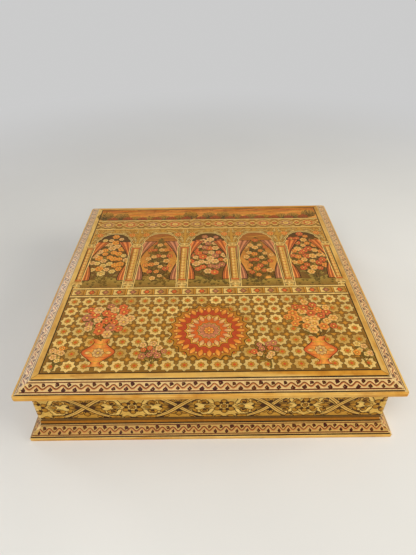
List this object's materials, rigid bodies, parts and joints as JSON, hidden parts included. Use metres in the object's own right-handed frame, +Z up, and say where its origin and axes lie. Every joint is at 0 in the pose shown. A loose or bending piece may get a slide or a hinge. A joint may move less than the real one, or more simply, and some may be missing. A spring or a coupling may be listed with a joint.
{
  "type": "painted box with hinged lid",
  "caption": "Low square keepsake box with an overhanging bevelled lid, a bevelled plinth and painted, varnished plates over a wooden carcass; the lid turns on butt hinges at the back.",
  "frame": {"origin": "middle of the footprint, on the surface the box stands on", "axes": "+Z up, +Y to the hinged back, +X to the right seen from the front"},
  "size_m": [0.305, 0.305, 0.0646],
  "materials": {
    "painted_bone": "gloss",
    "wood": "satin",
    "velvet": "matte",
    "baize": "matte",
    "brass": "satin",
    "steel_pin": "satin"
  },
  "bodies": {
    "box_body": {"base_board": "wood", "base_cloth": "baize", "floor_lining": "velvet", "hinge_pin_left": "steel_pin", "hinge_pin_right": "steel_pin", "hinge_wall_leaf_left": "brass", "hinge_wall_leaf_right": "brass", "hinge_wall_screws": "brass", "plinth_back": "wood", "plinth_bevel_facing_back": "painted_bone", "plinth_bevel_facing_front": "painted_bone", "plinth_bevel_facing_left": "painted_bone", "plinth_bevel_facing_right": "painted_bone", "plinth_edge_facing_back": "painted_bone", "plinth_edge_facing_front": "painted_bone", "plinth_edge_facing_left": "painted_bone", "plinth_edge_facing_right": "painted_bone", "plinth_front": "wood", "plinth_left": "wood", "plinth_right": "wood", "wall_back": "wood", "wall_facing_back": "painted_bone", "wall_facing_front": "painted_bone", "wall_facing_left": "painted_bone", "wall_facing_right": "painted_bone", "wall_front": "wood", "wall_left": "wood", "wall_lining_back": "velvet", "wall_lining_front": "velvet", "wall_lining_left": "velvet", "wall_lining_right": "velvet", "wall_right": "wood"},
    "lid": {"hinge_lid_leaf_left": "brass", "hinge_lid_leaf_right": "brass", "hinge_lid_screws": "brass", "lid_bevel_facing_back": "painted_bone", "lid_bevel_facing_front": "painted_bone", "lid_bevel_facing_left": "painted_bone", "lid_bevel_facing_right": "painted_bone", "lid_border_back": "painted_bone", "lid_border_front": "painted_bone", "lid_border_left": "painted_bone", "lid_border_right": "painted_bone", "lid_edge_facing_back": "painted_bone", "lid_edge_facing_front": "painted_bone", "lid_edge_facing_left": "painted_bone", "lid_edge_facing_right": "painted_bone", "lid_lining": "velvet", "lid_panel": "wood", "lid_rail_back": "wood", "lid_rail_front": "wood", "lid_rail_left": "wood", "lid_rail_right": "wood", "picture_panel": "painted_bone"}
  },
  "joints": [
    {"name": "lid_hinge", "type": "hinge", "parent": "box_body", "child": "lid", "pos_m": [0, 0.14495, 0.052], "axis": [-1, 0, 0], "range_deg": [0, 110]}
  ]
}
